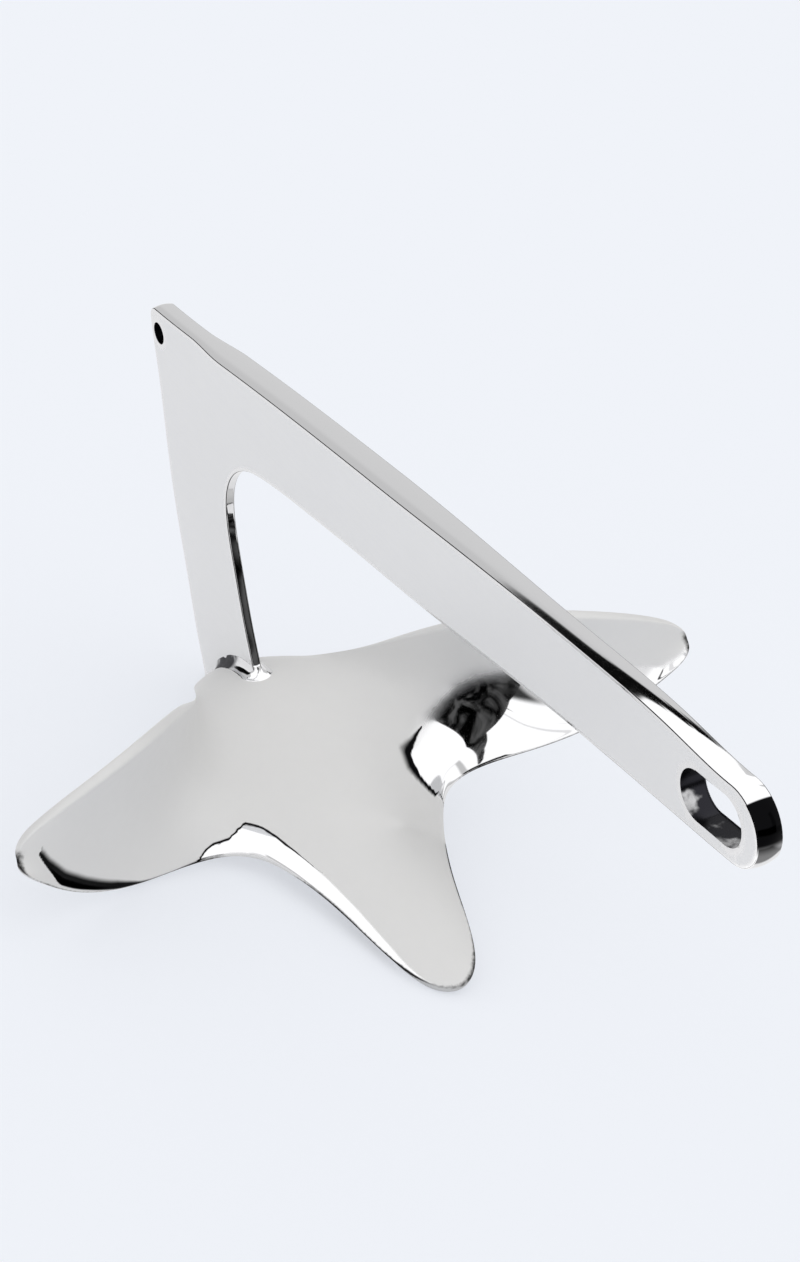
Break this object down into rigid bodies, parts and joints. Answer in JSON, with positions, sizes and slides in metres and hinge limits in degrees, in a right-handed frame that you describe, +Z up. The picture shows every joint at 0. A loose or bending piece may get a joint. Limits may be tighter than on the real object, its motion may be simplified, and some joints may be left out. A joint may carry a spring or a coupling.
{
  "type": "claw anchor",
  "caption": "Polished cast anchor: flat arched shank with a shackle slot and a crown hole, on a broad palm with curved side flukes and a centre fluke",
  "frame": {"origin": "on the floor, at the middle of the anchor's outer box", "axes": "+Z up as the anchor rests on its heel, middle fluke and one side fluke; +X along the arm from the crown to the slot, seen from above; +Y across, away from the fluke that touches the floor"},
  "size_m": [0.4242, 0.2758, 0.2207],
  "materials": {
    "polished_steel": "mirror polished stainless steel"
  },
  "bodies": {
    "root": {"claw_anchor": "polished_steel"}
  },
  "joints": []
}
